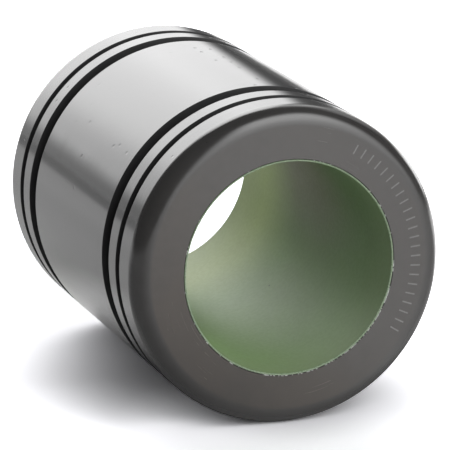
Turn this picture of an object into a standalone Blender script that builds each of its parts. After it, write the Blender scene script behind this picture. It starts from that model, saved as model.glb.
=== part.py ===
"""Lined linear bushing: a turned aluminium shell with a thin self-lubricating liner bonded in its bore.

Metres, +Z up. The bushing's axis is the world Y axis and the origin is the middle of the bushing.
Every piece is one closed profile turned about that axis. Nothing in a plain lined bushing moves, so the
pieces have no joints.
"""

import math

import bmesh
import bpy

# Driving dimensions.
MM = 0.001
SHELL_OD = 76.2 * MM
SHELL_LENGTH = 101.6 * MM
SHAFT_BORE = 50.8 * MM

END_ROUND_RADIUS = 4.4 * MM
BORE_MOUTH_CHAMFER = 0.1 * MM

# The narrow groove near each end takes a retaining ring.
RING_GROOVE_FROM_END = 10.65 * MM
RING_GROOVE_WIDTH = 3.0 * MM
RING_GROOVE_DEPTH = 2.05 * MM

# The wide groove further in takes a cushioning O-ring.
CUSHION_GROOVE_FROM_END = 18.65 * MM
CUSHION_GROOVE_WIDTH = 5.25 * MM
CUSHION_GROOVE_DEPTH = 3.0 * MM

GROOVE_LIP_CHAMFER = 0.15 * MM

LINER_THICKNESS = 0.4 * MM
LINER_RECESS = 0.05 * MM
LINER_CHAMFER = 0.2 * MM

BOND_THICKNESS = 0.06 * MM
BOND_RECESS = 0.2 * MM
ASSEMBLY_GAP = 0.02 * MM

# Fineness of the turned surfaces.
TURN_STEPS = 96
END_ROUND_STEPS = 7
MERGE_DISTANCE = 0.001 * MM
SHARP_ANGLE = math.radians(30)

# Sizes that follow from the driving dimensions, from the bore outwards.
LINER_INNER_R = SHAFT_BORE / 2
LINER_OUTER_R = LINER_INNER_R + LINER_THICKNESS
BOND_INNER_R = LINER_OUTER_R + ASSEMBLY_GAP
BOND_OUTER_R = BOND_INNER_R + BOND_THICKNESS
SHELL_INNER_R = BOND_OUTER_R + ASSEMBLY_GAP
SHELL_OUTER_R = SHELL_OD / 2
HALF_LENGTH = SHELL_LENGTH / 2


def clear_scene():
    """Remove every object, so that the model starts empty."""
    for obj in list(bpy.data.objects):
        bpy.data.objects.remove(obj, do_unlink=True)


def make_collection(name):
    """Make a collection in the scene and return it."""
    collection = bpy.data.collections.new(name)
    bpy.context.scene.collection.children.link(collection)
    return collection


def make_material(name, colour, roughness, metallic):
    """Make a Principled BSDF material."""
    material = bpy.data.materials.new(name)
    material.use_nodes = True
    shader = material.node_tree.nodes["Principled BSDF"]
    shader.inputs["Base Color"].default_value = (*colour, 1.0)
    shader.inputs["Roughness"].default_value = roughness
    shader.inputs["Metallic"].default_value = metallic
    material.diffuse_color = (*colour, 1.0)
    return material


def other_end(points):
    """The same points on the -Y end, in reverse order, so that a profile can run on through both ends."""
    return [(radius, -along) for radius, along in reversed(points)]


def outline_mesh(name, profile):
    """A closed wire outline in the XZ plane from (radius, distance along the axis) points."""
    outline = bmesh.new()
    points = [outline.verts.new((radius, 0.0, along)) for radius, along in profile]
    for start, end in zip(points, points[1:] + points[:1]):
        outline.edges.new((start, end))
    mesh = bpy.data.meshes.new(name)
    outline.to_mesh(mesh)
    outline.free()
    return mesh


def add_turn(piece):
    """Turn the piece's outline once about its own Z axis."""
    turn = piece.modifiers.new("Turn", "SCREW")
    turn.axis = "Z"
    turn.angle = math.radians(360)
    turn.steps = TURN_STEPS
    turn.render_steps = TURN_STEPS
    turn.use_merge_vertices = True
    turn.merge_threshold = MERGE_DISTANCE


def shade_round(piece):
    """Apply the piece's modifiers, then shade it smooth with sharp edges where its profile turns a corner."""
    evaluated = piece.evaluated_get(bpy.context.evaluated_depsgraph_get())
    turned = bpy.data.meshes.new_from_object(evaluated)
    outline = piece.data
    piece.modifiers.clear()
    piece.data = turned
    bpy.data.meshes.remove(outline)
    turned.name = piece.name
    turned.shade_smooth()
    turned.set_sharp_from_angle(angle=SHARP_ANGLE)


def turned_piece(name, profile, material, collection):
    """Make one turned piece, laid down so that its own Z axis becomes the world Y axis.

    The profile is closed. It runs down its outer side first, from the +Y end to the -Y end, and back up its
    inner side.
    """
    piece = bpy.data.objects.new(name, outline_mesh(name, profile))
    collection.objects.link(piece)
    piece.rotation_euler = (math.radians(-90), 0.0, 0.0)
    add_turn(piece)
    shade_round(piece)
    piece.data.materials.append(material)
    return piece


def end_round():
    """The quarter round between the +Y end face and the outer wall, from the face to the wall."""
    centre_r = SHELL_OUTER_R - END_ROUND_RADIUS
    centre_along = HALF_LENGTH - END_ROUND_RADIUS
    points = []
    for step in range(END_ROUND_STEPS + 1):
        angle = math.radians(90) * (1 - step / END_ROUND_STEPS)
        radius = centre_r + END_ROUND_RADIUS * math.cos(angle)
        along = centre_along + END_ROUND_RADIUS * math.sin(angle)
        points.append((radius, along))
    return points


def groove(from_end, width, depth):
    """One square groove on the +Y half with chamfered lips, from its outer lip to its inner lip."""
    outer_edge = HALF_LENGTH - from_end
    inner_edge = outer_edge - width
    floor_r = SHELL_OUTER_R - depth
    lip_r = SHELL_OUTER_R - GROOVE_LIP_CHAMFER
    return [
        (SHELL_OUTER_R, outer_edge),
        (lip_r, outer_edge - GROOVE_LIP_CHAMFER),
        (floor_r, outer_edge - GROOVE_LIP_CHAMFER),
        (floor_r, inner_edge + GROOVE_LIP_CHAMFER),
        (lip_r, inner_edge + GROOVE_LIP_CHAMFER),
        (SHELL_OUTER_R, inner_edge),
    ]


def shell_profile():
    """Rounded ends and four grooves outside, a plain bore with chamfered mouths inside."""
    outer_half = end_round()
    outer_half += groove(RING_GROOVE_FROM_END, RING_GROOVE_WIDTH, RING_GROOVE_DEPTH)
    outer_half += groove(CUSHION_GROOVE_FROM_END, CUSHION_GROOVE_WIDTH, CUSHION_GROOVE_DEPTH)
    mouth = [
        (SHELL_INNER_R, HALF_LENGTH - BORE_MOUTH_CHAMFER),
        (SHELL_INNER_R + BORE_MOUTH_CHAMFER, HALF_LENGTH),
    ]
    return outer_half + other_end(outer_half) + other_end(mouth) + mouth


def bond_profile():
    """A plain thin sleeve that stops a little short of both faces."""
    end = HALF_LENGTH - BOND_RECESS
    return [(BOND_OUTER_R, end), (BOND_OUTER_R, -end), (BOND_INNER_R, -end), (BOND_INNER_R, end)]


def liner_profile():
    """A thin sleeve whose bore is chamfered at both mouths."""
    end = HALF_LENGTH - LINER_RECESS
    outer = [(LINER_OUTER_R, end), (LINER_OUTER_R, -end)]
    mouth = [(LINER_INNER_R, end - LINER_CHAMFER), (LINER_INNER_R + LINER_CHAMFER, end)]
    return outer + other_end(mouth) + mouth


def build():
    """Make the three pieces."""
    clear_scene()
    parts = make_collection("lined_linear_bushing")

    anodised = make_material("anodised_shell", (0.105, 0.10, 0.098), 0.38, 0.75)
    adhesive = make_material("adhesive_film", (0.62, 0.62, 0.57), 0.55, 0.0)
    lining = make_material("bearing_liner", (0.16, 0.27, 0.13), 0.45, 0.0)

    turned_piece("shell", shell_profile(), anodised, parts)
    turned_piece("bond_film", bond_profile(), adhesive, parts)
    turned_piece("liner", liner_profile(), lining, parts)


build()
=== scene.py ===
"""Looks for the lined linear bushing: fine turned surfaces, anodising, a ragged liner edge and a studio.

Metres, +Z up. The bushing lies on the floor with its axis along Y, and its front face looks along -Y.
Colours are linear (red, green, blue, 1).
"""

import math

import bmesh
import bpy
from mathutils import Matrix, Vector, noise


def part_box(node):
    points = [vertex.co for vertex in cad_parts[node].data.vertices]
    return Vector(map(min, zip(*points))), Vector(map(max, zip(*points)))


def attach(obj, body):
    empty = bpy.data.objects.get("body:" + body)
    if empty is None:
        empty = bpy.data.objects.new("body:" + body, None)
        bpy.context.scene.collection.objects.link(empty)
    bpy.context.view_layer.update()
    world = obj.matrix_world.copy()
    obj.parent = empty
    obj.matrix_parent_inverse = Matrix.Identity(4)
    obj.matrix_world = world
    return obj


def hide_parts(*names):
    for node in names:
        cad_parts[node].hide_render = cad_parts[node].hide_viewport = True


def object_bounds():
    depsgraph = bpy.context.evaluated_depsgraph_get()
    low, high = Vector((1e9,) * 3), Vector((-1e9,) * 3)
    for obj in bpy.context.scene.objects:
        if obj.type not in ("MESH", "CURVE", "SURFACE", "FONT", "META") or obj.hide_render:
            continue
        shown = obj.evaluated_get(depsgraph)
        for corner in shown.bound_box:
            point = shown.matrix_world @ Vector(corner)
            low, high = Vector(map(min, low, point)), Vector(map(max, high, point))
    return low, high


MM = 0.001

# Fineness of the turned surfaces.
SHELL_SEGMENTS = 384
SLEEVE_SEGMENTS = 1200
BORE_RINGS = 12
SHARP_ANGLE = math.radians(32)

# Shell details that follow the CAD solid.
END_ROUND_RADIUS = 4.4 * MM
END_ROUND_STEPS = 20
BORE_MOUTH_CHAMFER = 0.12 * MM
RING_GROOVE = (10.65 * MM, 3.0 * MM, 2.05 * MM)
CUSHION_GROOVE = (18.65 * MM, 5.25 * MM, 3.0 * MM)
LIP_RADIUS = 0.06 * MM
LIP_STEPS = 4
FLOOR_CORNER_RADIUS = 0.4 * MM
# A row this far from each rounding keeps the smooth shading of the long straight bands true, and so does
# a ring on each end face, this far inside the end rounding.
HOLD = 0.12 * MM
FACE_RING_INSET = 3.5 * MM

LINER_THICKNESS = 0.4 * MM
LINER_RECESS = 0.05 * MM
LINER_MOUTH_RADIUS = 0.26 * MM
LINER_OUTER_CORNER = 0.08 * MM
BOND_THICKNESS = 0.06 * MM
BOND_RECESS = 0.5 * MM
BOND_CORNER = 0.02 * MM
ASSEMBLY_GAP = 0.02 * MM

# Beads of squeezed-out adhesive, which gather around this angle from +X towards +Z.
BEAD_BELOW_FACE = 0.01 * MM
BEAD_SWELL = 0.12 * MM
BEAD_SIDE = math.radians(285)

# Etched bars on the front face, in degrees around the axis from +X towards +Z, and in metres.
BAR_MIDDLE = 13
BAR_SPACING = 4.2
BARS_EACH_SIDE = 11
BAR_RADIUS = 31.4 * MM
BAR_HEIGHT = 2.4 * MM

# Camera: it looks at a point a little off the bushing's middle. Its angles are in degrees.
CAMERA_AZIMUTH = -19.51
CAMERA_ELEVATION = 14.82
CAMERA_DISTANCE = 0.9162
CAMERA_LENS_MM = 300.5
AIM_RIGHT = 1.91 * MM
AIM_UP = -2.22 * MM

# Studio.
FLOOR_RADIUS = 30.0
AMBIENT = 0.10


# ---------------------------------------------------------------- node helpers


class Graph:
    """A short way to add and link shader nodes."""

    def __init__(self, tree):
        self.tree = tree

    def add(self, kind, settings=None, **inputs):
        """Add a node, set its properties, and set or link its inputs by name or by index (i0, i1, ...)."""
        node = self.tree.nodes.new(kind)
        for key, value in (settings or {}).items():
            setattr(node, key, value)
        for key, value in inputs.items():
            index = int(key[1:]) if key[0] == "i" and key[1:].isdigit() else key.replace("_", " ")
            self.feed(node.inputs[index], value)
        return node

    def feed(self, socket, value):
        """Link an output, or set a plain value."""
        if isinstance(value, bpy.types.NodeSocket):
            self.tree.links.new(value, socket)
        else:
            socket.default_value = value

    def math(self, operation, a, b=0.0, c=0.0):
        return self.add("ShaderNodeMath", {"operation": operation}, i0=a, i1=b, i2=c).outputs[0]

    def product(self, *factors):
        total = factors[0]
        for factor in factors[1:]:
            total = self.math("MULTIPLY", total, factor)
        return total

    def sum(self, *terms):
        total = terms[0]
        for term in terms[1:]:
            total = self.math("ADD", total, term)
        return total

    def measure(self, operation, a, b=(0, 0, 0)):
        """A number from one or two vectors: their DOT_PRODUCT or DISTANCE, or the LENGTH of the first."""
        return self.add("ShaderNodeVectorMath", {"operation": operation}, i0=a, i1=b).outputs["Value"]

    def dot(self, a, b):
        return self.measure("DOT_PRODUCT", a, b)

    def ramp(self, value, low, high, to_low=0.0, to_high=1.0):
        """Map a value smoothly from low..high to to_low..to_high, clamped."""
        settings = {"interpolation_type": "SMOOTHSTEP"}
        inputs = {"i0": value, "i1": low, "i2": high, "i3": to_low, "i4": to_high}
        return self.add("ShaderNodeMapRange", settings, **inputs).outputs[0]

    def mix(self, factor, a, b):
        """Blend two colours."""
        node = self.add("ShaderNodeMix", {"data_type": "RGBA"})
        self.feed(node.inputs[0], factor)
        self.feed(node.inputs[6], a)
        self.feed(node.inputs[7], b)
        return node.outputs[2]

    def noise(self, vector, scale, detail=3.0, roughness=0.5):
        node = self.add("ShaderNodeTexNoise", i0=vector)
        node.inputs["Scale"].default_value = scale
        node.inputs["Detail"].default_value = detail
        node.inputs["Roughness"].default_value = roughness
        return node.outputs[0]

    def vector(self, x, y, z):
        return self.add("ShaderNodeCombineXYZ", i0=x, i1=y, i2=z).outputs[0]

    def split(self, vector):
        return self.add("ShaderNodeSeparateXYZ", i0=vector).outputs

    def bump(self, height, distance, normal=None):
        """Tilt the normal as if the surface stood proud by height times distance."""
        node = self.add("ShaderNodeBump", Height=height, Distance=distance)
        if normal is not None:
            self.feed(node.inputs["Normal"], normal)
        return node.outputs["Normal"]


class Surface:
    """A material on a turned piece, with the coordinates that its patterns use."""

    def __init__(self, name):
        self.material = bpy.data.materials.new(name)
        self.material.use_nodes = True
        self.graph = Graph(self.material.node_tree)
        self.shader = self.material.node_tree.nodes["Principled BSDF"]
        self.position = self.graph.add("ShaderNodeTexCoord").outputs["Object"]
        self.x, self.along, self.z = self.graph.split(self.position)
        self.radius = self.graph.measure("LENGTH", self.graph.vector(self.x, 0.0, self.z))

    def set(self, **inputs):
        """Feed the shader's inputs, with underscores for the spaces in their names."""
        for key, value in inputs.items():
            self.graph.feed(self.shader.inputs[key.replace("_", " ")], value)

    def cloud(self, size, detail=4.0):
        """Soft blotches, from 0 to 1, about size across."""
        return self.graph.ramp(self.graph.noise(self.position, 1.0 / size, detail), 0.3, 0.7)

    def lay(self, pitch, length):
        """Fine marks that run round the axis, as turning and grinding leave them, on a wall or on a face."""
        graph = self.graph
        outward = graph.math("SUBTRACT", self.radius, graph.math("ABSOLUTE", self.along))
        parts = (graph.math("DIVIDE", self.x, length), graph.math("DIVIDE", outward, pitch))
        return graph.noise(graph.vector(*parts, graph.math("DIVIDE", self.z, length)), 1.0, 2.0)

    def specks(self, spacing, size, share):
        """Small round spots in a share of the cells of a random pattern."""
        graph = self.graph
        cells = graph.add("ShaderNodeTexVoronoi", Vector=self.position, Scale=1.0 / spacing)
        chosen = graph.math("LESS_THAN", graph.split(cells.outputs["Color"])[0], share)
        spot = graph.ramp(cells.outputs["Distance"], 0.5 * size / spacing, size / spacing, 1.0, 0.0)
        return graph.math("MULTIPLY", spot, chosen)


# ---------------------------------------------------------------- materials


def anodised_ground():
    """The outer wall: ground smooth before anodising, with faint lay around the axis, specks and dents."""
    look = Surface("anodised_ground")
    graph = look.graph
    cloud = look.cloud(14 * MM)
    lay = look.lay(0.5 * MM, 30 * MM)
    specks = look.specks(3.5 * MM, 0.16 * MM, 0.16)
    dents = look.specks(3.4 * MM, 0.5 * MM, 0.3)
    base = graph.mix(cloud, (0.033, 0.033, 0.036, 1), (0.040, 0.039, 0.039, 1))
    base = graph.mix(specks, base, (0.16, 0.16, 0.15, 1))
    roughness = graph.sum(
        graph.ramp(cloud, 0.0, 1.0, 0.09, 0.115),
        graph.ramp(lay, 0.3, 0.7, 0.0, 0.025),
        graph.math("MULTIPLY", specks, 0.3),
    )
    look.set(Base_Color=base, Roughness=roughness, IOR=graph.ramp(dents, 0.0, 1.0, 1.8, 1.66))
    level = graph.math("SUBTRACT", 1.0, dents)
    look.set(Normal=graph.bump(level, 0.035 * MM, graph.bump(lay, 0.00035 * MM)))
    return look.material


def etched_bars(look):
    """A row of plain etched bars around part of the front face, as a generic orientation scale."""
    graph = look.graph
    turn = graph.math("ARCTAN2", look.z, look.x)
    step = math.radians(BAR_SPACING)
    middle = math.radians(BAR_MIDDLE)
    count = graph.math("DIVIDE", graph.math("SUBTRACT", turn, middle), step)
    nearest = graph.math("ROUND", count)
    offset = graph.product(graph.math("ABSOLUTE", graph.math("SUBTRACT", count, nearest)), step, look.radius)
    width = graph.ramp(offset, 0.10 * MM, 0.20 * MM, 1.0, 0.0)
    in_row = graph.math("LESS_THAN", graph.math("ABSOLUTE", nearest), BARS_EACH_SIDE + 0.5)
    half_height = 0.5 * BAR_HEIGHT
    middle_r = graph.math("ABSOLUTE", graph.math("SUBTRACT", look.radius, BAR_RADIUS))
    height = graph.ramp(middle_r, half_height - 0.05 * MM, half_height + 0.05 * MM, 1.0, 0.0)
    front = graph.math("LESS_THAN", look.along, 0.0)
    return graph.product(width, in_row, height, front)


def anodised_turned():
    """The end faces and roundings: a satin turned finish, a little bronze in places."""
    look = Surface("anodised_turned")
    graph = look.graph
    cloud = look.cloud(22 * MM)
    fine = look.cloud(3 * MM, 6.0)
    lay = look.lay(0.28 * MM, 25 * MM)
    specks = look.specks(4 * MM, 0.14 * MM, 0.2)
    base = graph.mix(cloud, (0.036, 0.034, 0.033, 1), (0.046, 0.044, 0.043, 1))
    base = graph.mix(graph.math("MULTIPLY", fine, 0.35), base, (0.050, 0.048, 0.047, 1))
    base = graph.mix(specks, base, (0.02, 0.02, 0.02, 1))
    roughness = graph.sum(
        graph.ramp(cloud, 0.0, 1.0, 0.225, 0.255),
        graph.ramp(lay, 0.3, 0.7, -0.02, 0.02),
        graph.ramp(look.radius, 33.7 * MM, 36.5 * MM, 0.0, -0.08),
    )
    flat = graph.ramp(look.radius, 34.5 * MM, 33.5 * MM)
    lower_left = graph.ramp(graph.dot(look.position, (-0.7, 0.0, -0.7)), -10 * MM, 25 * MM, 0.3, 1.0)
    bronze = graph.product(flat, lower_left, graph.ramp(cloud, 0.0, 1.0, 0.6, 1.0))
    tint = graph.mix(bronze, (1.0, 1.0, 1.0, 1), (1.0, 0.90, 0.82, 1))
    etched = etched_bars(look)
    base = graph.mix(etched, base, (0.17, 0.17, 0.17, 1))
    roughness = graph.math("ADD", roughness, graph.math("MULTIPLY", etched, 0.1))
    look.set(Base_Color=base, Roughness=roughness, IOR=1.8, Specular_Tint=tint)
    look.set(Normal=graph.bump(lay, 0.0006 * MM))
    return look.material


def anodised_groove():
    """The groove walls and floors: duller, with coarser turning marks, and darker as painted shade in the
    recesses.
    """
    look = Surface("anodised_groove")
    graph = look.graph
    cloud = look.cloud(6 * MM)
    lay = look.lay(0.35 * MM, 20 * MM)
    # Painted shade: the dark base colour stands in for the shade inside these recesses.
    base = graph.mix(cloud, (0.010, 0.010, 0.011, 1), (0.018, 0.018, 0.019, 1))
    look.set(Base_Color=base, Roughness=graph.ramp(lay, 0.3, 0.7, 0.42, 0.55), IOR=1.6)
    look.set(Normal=graph.bump(lay, 0.004 * MM))
    return look.material


def liner_bore():
    """The liner's running surface: a smooth, faintly mottled filled polymer, duller in the upper middle.

    Painted shade darkens its upper part, and painted light makes it paler towards the rear and the mouths.
    """
    look = Surface("liner_bore")
    graph = look.graph
    cloud = look.cloud(20 * MM, 5.0)
    grain = look.cloud(0.9 * MM, 3.0)
    specks = look.specks(7 * MM, 0.34 * MM, 0.4)
    upper = graph.ramp(look.z, -16 * MM, 8 * MM)
    middle = graph.ramp(look.along, -30 * MM, 0)
    rear = graph.ramp(look.along, 8 * MM, 36 * MM)
    # Painted shade: the upper part of the bore is darker.
    base = graph.mix(upper, (0.262, 0.412, 0.168, 1), (0.176, 0.270, 0.142, 1))
    base = graph.mix(graph.product(upper, middle), base, (0.235, 0.225, 0.165, 1))
    # Painted light: paler towards the rear end, where light comes in through the rear opening.
    base = graph.mix(rear, base, (0.450, 0.545, 0.245, 1))
    mottle = graph.sum(graph.ramp(cloud, 0.0, 1.0, 0.0, 0.10), graph.ramp(grain, 0.0, 1.0, 0.0, 0.06))
    base = graph.mix(mottle, base, (0.12, 0.13, 0.08, 1))
    # Painted light: paler towards each mouth.
    painted_light_at_mouths = graph.ramp(graph.math("ABSOLUTE", look.along), 34 * MM, 50 * MM, 0.0, 0.25)
    base = graph.mix(painted_light_at_mouths, base, (0.40, 0.48, 0.30, 1))
    base = graph.mix(graph.math("MULTIPLY", specks, 0.7), base, (0.10, 0.10, 0.06, 1))
    look.set(Base_Color=base, Roughness=graph.ramp(grain, 0.0, 1.0, 0.48, 0.54), IOR=1.45)
    look.set(Normal=graph.bump(grain, 0.006 * MM))
    return look.material


def liner_edge():
    """The liner's cut edge: a little paler and rougher than its running surface."""
    look = Surface("liner_edge")
    graph = look.graph
    fibre = look.cloud(0.35 * MM, 3.0)
    base = graph.mix(fibre, (0.18, 0.26, 0.155, 1), (0.38, 0.47, 0.33, 1))
    look.set(Base_Color=base, Roughness=0.55, IOR=1.42)
    look.set(Normal=graph.bump(fibre, 0.03 * MM))
    return look.material


def adhesive(half):
    """Cured adhesive, dark in its gap and pale where it stands near the faces, at half the length.

    The dark in the gap is painted shade.
    """
    look = Surface("adhesive")
    graph = look.graph
    lumps = look.cloud(0.5 * MM, 3.0)
    base = graph.mix(lumps, (0.34, 0.36, 0.34, 1), (0.70, 0.72, 0.69, 1))
    proud = graph.ramp(graph.math("ABSOLUTE", look.along), half - 0.2 * MM, half - 0.06 * MM)
    # Painted shade: the film is dark below the faces, in its gap.
    base = graph.mix(proud, (0.03, 0.035, 0.03, 1), base)
    look.set(Base_Color=base, Roughness=0.35)
    look.set(Normal=graph.bump(lumps, 0.02 * MM))
    return look.material


# ---------------------------------------------------------------- turned meshes


def arc(centre, radius, start_degrees, end_degrees, steps):
    """Points of an arc in the (radius, along) plane."""
    points = []
    for step in range(steps + 1):
        angle = math.radians(start_degrees + (end_degrees - start_degrees) * step / steps)
        points.append((centre[0] + radius * math.cos(angle), centre[1] + radius * math.sin(angle)))
    return points


def other_end(rows):
    """The same rows on the other end, in reverse order."""
    return [(radius, -along, kind) for radius, along, kind in reversed(rows)]


def turned_mesh(name, rows, segments, materials, shape=None):
    """Turn a closed profile about the Y axis.

    A row is (radius, along, material index of the band that follows it). shape(row index, radius, along,
    angle) can move a point.
    """
    work = bmesh.new()
    rings = []
    for index, (radius, along, _) in enumerate(rows):
        ring = []
        for step in range(segments):
            angle = 2 * math.pi * step / segments
            r, y = shape(index, radius, along, angle) if shape else (radius, along)
            ring.append(work.verts.new((r * math.cos(angle), y, r * math.sin(angle))))
        rings.append(ring)
    for index, ring in enumerate(rings):
        following = rings[(index + 1) % len(rings)]
        for step in range(segments):
            after = (step + 1) % segments
            face = work.faces.new((ring[step], following[step], following[after], ring[after]))
            face.material_index = rows[index][2]
            face.smooth = True
    bmesh.ops.recalc_face_normals(work, faces=work.faces)
    mesh = bpy.data.meshes.new(name)
    work.to_mesh(mesh)
    work.free()
    mesh.set_sharp_from_angle(angle=SHARP_ANGLE)
    for material in materials:
        mesh.materials.append(material)
    piece = bpy.data.objects.new(name, mesh)
    bpy.context.scene.collection.objects.link(piece)
    return piece


GROUND, TURNED, GROOVE = range(3)


def groove_rows(outer_r, half_length, from_end, width, depth):
    """One groove on the +Y half: broken lips, straight walls and rounded floor corners."""
    outer_edge = half_length - from_end
    inner_edge = outer_edge - width
    floor_r = outer_r - depth
    lip, corner = LIP_RADIUS, FLOOR_CORNER_RADIUS
    outer_wall = outer_edge - lip
    inner_wall = inner_edge + lip
    cut = arc((outer_r - lip, outer_edge), lip, 0, -90, LIP_STEPS)
    cut += arc((floor_r + corner, outer_wall - corner), corner, 90, 180, LIP_STEPS)
    cut += arc((floor_r + corner, inner_wall + corner), corner, 180, 270, LIP_STEPS)
    cut += arc((outer_r - lip, inner_edge), lip, 90, 0, LIP_STEPS)
    rows = [(outer_r, outer_edge + HOLD, GROUND)]
    rows += [(r, y, GROOVE) for r, y in cut[:-1]]
    rows += [(*cut[-1], GROUND), (outer_r, inner_edge - HOLD, GROUND)]
    return rows


def shell(high, inner_r):
    """The shell, from its box's highest corner: end faces, roundings, four grooves and the bore."""
    outer_r = high.x
    half = high.y
    round_centre = (outer_r - END_ROUND_RADIUS, half - END_ROUND_RADIUS)
    rounding = arc(round_centre, END_ROUND_RADIUS, 90, 0, END_ROUND_STEPS)
    rows = [(outer_r - END_ROUND_RADIUS - HOLD, half, TURNED)]
    rows += [(r, y, TURNED) for r, y in rounding[:-1]]
    rows += [(*rounding[-1], GROUND), (outer_r, half - END_ROUND_RADIUS - HOLD, GROUND)]
    rows += groove_rows(outer_r, half, *RING_GROOVE)
    rows += groove_rows(outer_r, half, *CUSHION_GROOVE)
    back = other_end(rows)
    # A row's kind belongs to the band after it, so the mirrored rows take the kind of the row before.
    shifted = [(r, y, back[(i + 1) % len(back)][2]) for i, (r, y, _) in enumerate(back)]
    shifted[-1] = (*shifted[-1][:2], TURNED)
    mouth = [(inner_r, half - BORE_MOUTH_CHAMFER, GROOVE), (inner_r + BORE_MOUTH_CHAMFER, half, TURNED)]
    face_ring = [(outer_r - END_ROUND_RADIUS - FACE_RING_INSET, half, TURNED)]
    all_rows = rows + shifted + other_end(face_ring) + other_end(mouth) + mouth + face_ring
    materials = [anodised_ground(), anodised_turned(), anodised_groove()]
    return turned_mesh("shell_fine", all_rows, SHELL_SEGMENTS, materials)


def wobble(angle, end, seed, frequency):
    """Smooth noise around the mouth of one end, from -1 to 1, the same each run."""
    return noise.noise(Vector((math.cos(angle) * frequency, math.sin(angle) * frequency, seed + 10.0 * end)))


def liner(half, inner_r):
    """The liner sleeve: rounded into the bore, with an uneven cut at both mouths."""
    outer_r = inner_r + LINER_THICKNESS
    end = half - LINER_RECESS
    mouth = arc((inner_r + LINER_MOUTH_RADIUS, end - LINER_MOUTH_RADIUS), LINER_MOUTH_RADIUS, 180, 90, 6)
    corner = arc((outer_r - LINER_OUTER_CORNER, end - LINER_OUTER_CORNER), LINER_OUTER_CORNER, 90, 0, 3)
    bore_y = mouth[0][1] - HOLD
    bore = [(inner_r, -bore_y + 2 * bore_y * i / BORE_RINGS, 0) for i in range(BORE_RINGS + 1)]
    front = [(r, y, 1) for r, y in mouth + corner]
    front[-1] = (*corner[-1], 0)
    back = [(r, -y, 1) for r, y in reversed(mouth + corner)]
    back[-1] = (*back[-1][:2], 0)
    rows = front + back + bore

    def shape(index, radius, along, angle):
        if abs(along) <= bore_y:
            return radius, along
        side = math.copysign(1, along)
        cut = 0.05 * MM * wobble(angle, side, 1.0, 70.0) + 0.04 * MM * wobble(angle, side, 2.0, 16.0)
        fray = 0.06 * MM * max(wobble(angle, side, 3.0, 110.0) - 0.1, 0.0)
        return radius - fray * (radius - inner_r) / LINER_THICKNESS, along - side * max(cut, -0.04 * MM)

    return turned_mesh("liner_fine", rows, SLEEVE_SEGMENTS, [liner_bore(), liner_edge()], shape)


def bond(half, inner_r):
    """The adhesive film, which ends below the face and stands in beads where it was squeezed out.

    A bead rises between the liner and the shell and fills the broken edge of the shell's bore.
    """
    outer_r = inner_r + BOND_THICKNESS
    low = half - BOND_RECESS
    foot = low - 0.1 * MM
    top = half - BEAD_BELOW_FACE
    corner = BOND_CORNER
    film = [
        (outer_r, foot),
        (outer_r, low - corner),
        (outer_r - 0.5 * corner, low - 0.5 * corner),
        (outer_r - corner, low),
        (inner_r + corner, low),
        (inner_r, low - corner),
        (inner_r, foot),
    ]
    bead = [
        (outer_r, foot),
        (outer_r, half - BORE_MOUTH_CHAMFER - corner),
        (outer_r + BEAD_SWELL - 0.05 * MM, top - 0.05 * MM),
        (outer_r + BEAD_SWELL, top),
        (outer_r - corner, top),
        (inner_r, top - 2 * corner),
        (inner_r, foot),
    ]
    film += [(r, -y) for r, y in reversed(film)]
    bead += [(r, -y) for r, y in reversed(bead)]
    rows = [(r, y, 0) for r, y in film]

    def shape(index, radius, along, angle):
        side = math.copysign(1, along)
        # The beads cover the stretches where this sum is high.
        gathered = 0.6 * (0.5 + 0.5 * math.cos(angle - BEAD_SIDE))
        broken = 0.8 * wobble(angle, side, 4.0, 7.0) + 0.9 * wobble(angle, side, 5.0, 55.0)
        amount = min(max(5 * (gathered + broken - 0.47), 0.0), 1.0)
        bead_r, bead_y = bead[index]
        return radius + amount**2 * (bead_r - radius), along + amount * (bead_y - along)

    return turned_mesh("bond_film_fine", rows, SLEEVE_SEGMENTS, [adhesive(half)], shape)


# ---------------------------------------------------------------- studio


def direction(azimuth, elevation):
    """Unit vector; azimuth 0 is +Y and 90 is +X, in degrees."""
    turn = math.radians(azimuth)
    rise = math.radians(elevation)
    return Vector((math.sin(turn) * math.cos(rise), math.cos(turn) * math.cos(rise), math.sin(rise)))


def panel(graph, ray, azimuth, sides, bottom, top, radiance):
    """Light from a soft-edged area of the surroundings. All angles are in degrees.

    The sides are (half width, softness), and the bottom and the top are (elevation, softness).
    """
    forward = graph.dot(ray, direction(azimuth, 0))
    sideways = graph.dot(ray, direction(azimuth + 90, 0))
    turn = graph.math("ABSOLUTE", graph.math("ARCTAN2", sideways, forward))
    height = graph.math("ARCSINE", graph.split(ray)[2])

    def soft_edge(value, edge, below, above):
        middle, softness = edge
        low, high = math.radians(middle - softness), math.radians(middle + softness)
        return graph.ramp(value, low, high, below, above)

    within_sides = soft_edge(turn, sides, 1.0, 0.0)
    above_bottom = soft_edge(height, bottom, 0.0, 1.0)
    below_top = soft_edge(height, top, 1.0, 0.0)
    return graph.product(within_sides, above_bottom, below_top, radiance)


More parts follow.
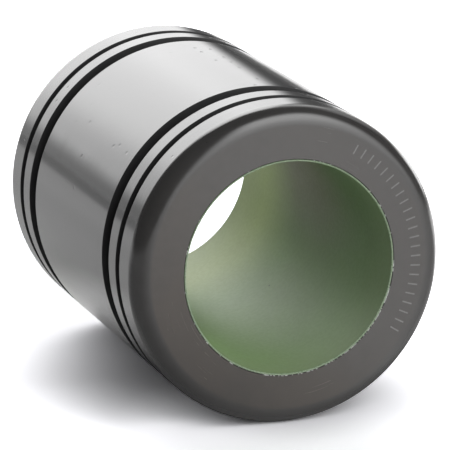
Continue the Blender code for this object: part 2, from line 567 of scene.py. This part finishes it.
def studio_world():
    """Plain pale surroundings for the camera, and soft lights for everything else."""
    world = bpy.data.worlds.new("studio")
    bpy.context.scene.world = world
    world.use_nodes = True
    graph = Graph(world.node_tree)
    ray = graph.add("ShaderNodeTexCoord").outputs["Generated"]
    light = graph.sum(
        # A large softbox beyond the rear end, brighter in its middle.
        panel(graph, ray, -0.3, (22.5, 1.3), (4.5, 3.0), (54, 6), 1.7),
        panel(graph, ray, -1.0, (18, 9), (4.5, 3.0), (54, 6), 1.2),
        # It is dimmer just inside its left edge.
        panel(graph, ray, -19.5, (2.5, 2.5), (4.5, 3.0), (54, 6), -0.45),
        # A weak glow along its left foot, and a lower one further to the left.
        panel(graph, ray, -11.5, (11.5, 2.0), (0.0, 4.0), (6, 4), 0.35),
        panel(graph, ray, -25, (26, 6), (-5.0, 3.0), (3, 4), 0.47),
        # Two weaker ones, higher and further to the right.
        panel(graph, ray, 16, (26, 6), (30, 6), (54, 6), 0.9),
        panel(graph, ray, 46, (26, 8), (24, 8), (46, 10), 0.8),
        # A low bright strip on the right, for the far side of the barrel.
        panel(graph, ray, 55, (23, 5), (-2, 3), (14, 5), 4.3),
        # A fill in front, for the end face and the bore.
        panel(graph, ray, 156, (30, 14), (-8, 4), (58, 10), 1.6),
        panel(graph, ray, 154, (28, 12), (22, 16), (58, 10), 1.4),
        AMBIENT,
    )
    camera_ray = graph.add("ShaderNodeLightPath").outputs["Is Camera Ray"]
    background = world.node_tree.nodes["Background"]
    background.inputs["Color"].default_value = (1, 1, 1, 1)
    graph.feed(background.inputs["Strength"], graph.math("MAXIMUM", light, camera_ray))


class FloorPlan:
    """Smooth patterns on the floor, by place, by reach from the bushing and by bearing from it."""

    def __init__(self, graph, level):
        self.graph = graph
        self.level = level
        self.place = graph.add("ShaderNodeNewGeometry").outputs["Position"]
        self.across, self.along, _ = graph.split(self.place)
        self.reach = graph.measure("LENGTH", self.place)
        normalize = {"operation": "NORMALIZE"}
        self.bearing = graph.add("ShaderNodeVectorMath", normalize, i0=self.place).outputs[0]

    def side(self, azimuth, outside, inside, to_outside=0.0, to_inside=1.0):
        """Rises towards an azimuth, between two cosines of the angle to it."""
        towards = self.graph.dot(self.bearing, direction(azimuth, 0))
        return self.graph.ramp(towards, outside, inside, to_outside, to_inside)

    def ring(self, near, far, to_near=0.0, to_far=1.0):
        """Changes with the distance from the bushing."""
        return self.graph.ramp(self.reach, near, far, to_near, to_far)

    def spot(self, x, y, inner, outer, at_middle, outside=0.0):
        """A round spot at a place in millimetres, between two radii in millimetres."""
        distance = self.graph.measure("DISTANCE", self.place, (x * MM, y * MM, self.level))
        return self.graph.ramp(distance, inner * MM, outer * MM, at_middle, outside)


def floor_in_reflections(plan):
    """The floor's colour in reflections, painted with light and shade.

    About a metre away it turns dark, except in front. Its factors paint light in front, on the right and
    behind, a shadow beside the bushing's right side, and shade on the left.
    """
    graph = plan.graph
    brighter_front = plan.side(172, 0.6, 0.9, 1.0, 1.45)
    darker_right = plan.side(110, 0.6, 0.9, 1.0, 0.7)
    left_strip = graph.product(plan.side(-70, 0.3, 0.7), plan.ring(55 * MM, 100 * MM, 0.8, 0.0))
    right_glow = graph.product(
        plan.side(66, 0.80, 0.93), plan.ring(70 * MM, 150 * MM), plan.ring(0.40, 0.80, 3.0, 1.0)
    )
    rear = graph.product(plan.side(22, 0.70, 0.90), plan.ring(0.2, 0.4))
    # A painted contact shadow beside the bushing's right side.
    painted_contact_shadow = plan.spot(18, -12, 26, 58, 0.08, 1.0)
    beyond_edge = plan.side(158, 0.5, 0.8, plan.side(-60, 0.3, 0.75, 0.15, 0.48), 1.0)
    tone = graph.product(
        1.56,
        brighter_front,
        darker_right,
        graph.math("ADD", left_strip, 1.0),
        graph.math("ADD", right_glow, 1.0),
        plan.ring(0.20, 0.40, 0.70, 0.80),
        graph.math("MULTIPLY_ADD", rear, 0.35, 1.0),
        painted_contact_shadow,
        plan.ring(0.95, 1.05, 1.0, beyond_edge),
    )
    # Painted shade towards the left.
    painted_left_shade = graph.mix(plan.side(-120, 0.2, 0.85), (1, 1, 1, 1), (0.40, 0.40, 0.40, 1))
    scaled = graph.add("ShaderNodeVectorMath", {"operation": "SCALE"}, i0=painted_left_shade)
    graph.feed(scaled.inputs["Scale"], tone)
    return scaled.outputs[0]


def floor_to_camera(plan):
    """The floor's colour for the camera, high enough to be white wherever the bushing leaves light on it.

    The colour above 1 is painted light, and the terms below paint the shadow lighter or deeper.
    """
    graph = plan.graph
    under_front_end = graph.product(
        plan.spot(-12, -33, 2, 26.5, 2.6), graph.ramp(plan.along, -47 * MM, -39 * MM)
    )
    tone = graph.sum(
        2.1,
        # The shadow is lighter on the far left, on the right, behind, under the front end and rear left.
        graph.ramp(plan.across, -52 * MM, -36 * MM, 0.35, 0.0),
        graph.ramp(plan.across, 5 * MM, 25 * MM, 0.0, 0.25),
        graph.ramp(plan.along, 40 * MM, 56 * MM, 0.0, 0.21),
        under_front_end,
        plan.spot(-32, 29, 2, 34, 0.83),
        # It is deeper just in front, on the left, and under the right of the front end.
        plan.spot(-3, -54, 3, 18, -0.14),
        plan.spot(-28, 2, 2, 20, -0.19),
        plan.spot(14, -28, 4, 44, -1.27),
    )
    # Slightly bluer, which shows only in the painted shadow.
    cool = graph.math("MULTIPLY", tone, 1.03)
    return graph.add("ShaderNodeCombineColor", Red=tone, Green=tone, Blue=cool).outputs[0]


def studio_floor(level):
    """A plain pale floor that the bushing rests on."""
    bpy.ops.mesh.primitive_circle_add(
        vertices=128, radius=FLOOR_RADIUS, fill_type="NGON", location=(0, 0, level)
    )
    floor = bpy.context.object
    floor.name = "floor"
    material = bpy.data.materials.new("pale_floor")
    material.use_nodes = True
    graph = Graph(material.node_tree)
    plan = FloorPlan(graph, level)
    camera_ray = graph.add("ShaderNodeLightPath").outputs["Is Camera Ray"]
    colour = graph.mix(camera_ray, floor_in_reflections(plan), floor_to_camera(plan))
    diffuse = graph.add("ShaderNodeBsdfDiffuse", Color=colour)
    output = material.node_tree.nodes["Material Output"]
    graph.feed(output.inputs["Surface"], diffuse.outputs[0])
    floor.data.materials.append(material)


def studio_camera():
    """The camera, on a long lens, above and to the left of the bushing's axis."""
    turn = math.radians(CAMERA_AZIMUTH)
    rise = math.radians(CAMERA_ELEVATION)
    back = Vector((math.sin(turn) * math.cos(rise), -math.cos(turn) * math.cos(rise), math.sin(rise)))
    right = Vector((math.cos(turn), math.sin(turn), 0))
    up = back.cross(right)
    data = bpy.data.cameras.new("camera")
    data.lens = CAMERA_LENS_MM
    data.clip_start = 0.05
    data.clip_end = 100
    camera = bpy.data.objects.new("camera", data)
    bpy.context.scene.collection.objects.link(camera)
    camera.location = right * AIM_RIGHT + up * AIM_UP + back * CAMERA_DISTANCE
    camera.rotation_mode = "QUATERNION"
    camera.rotation_quaternion = (-back).to_track_quat("-Z", "Y")
    bpy.context.scene.camera = camera


# ---------------------------------------------------------------- build

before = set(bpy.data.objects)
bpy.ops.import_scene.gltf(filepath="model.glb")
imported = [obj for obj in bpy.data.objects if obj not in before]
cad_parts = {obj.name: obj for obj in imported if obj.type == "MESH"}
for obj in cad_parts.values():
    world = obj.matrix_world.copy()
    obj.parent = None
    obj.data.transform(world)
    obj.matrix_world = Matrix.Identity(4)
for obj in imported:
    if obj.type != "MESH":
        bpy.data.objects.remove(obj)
cad_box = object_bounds()
shell_high = Vector(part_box("shell")[1])
liner_outer_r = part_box("liner")[1][0]
liner_inner_r = liner_outer_r - LINER_THICKNESS
bond_inner_r = liner_outer_r + ASSEMBLY_GAP
shell_inner_r = bond_inner_r + BOND_THICKNESS + ASSEMBLY_GAP

pieces = [
    (shell(shell_high, shell_inner_r), "shell", "anodised_shell"),
    (liner(shell_high.y, liner_inner_r), "liner", "bearing_liner"),
    (bond(shell_high.y, bond_inner_r), "bond_film", "adhesive_film"),
]
for piece, node, slot in pieces:
    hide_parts(node)
    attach(piece, "root")

studio_world()
studio_floor(cad_box[0].z)
studio_camera()
bpy.context.scene.view_settings.view_transform = "Standard"
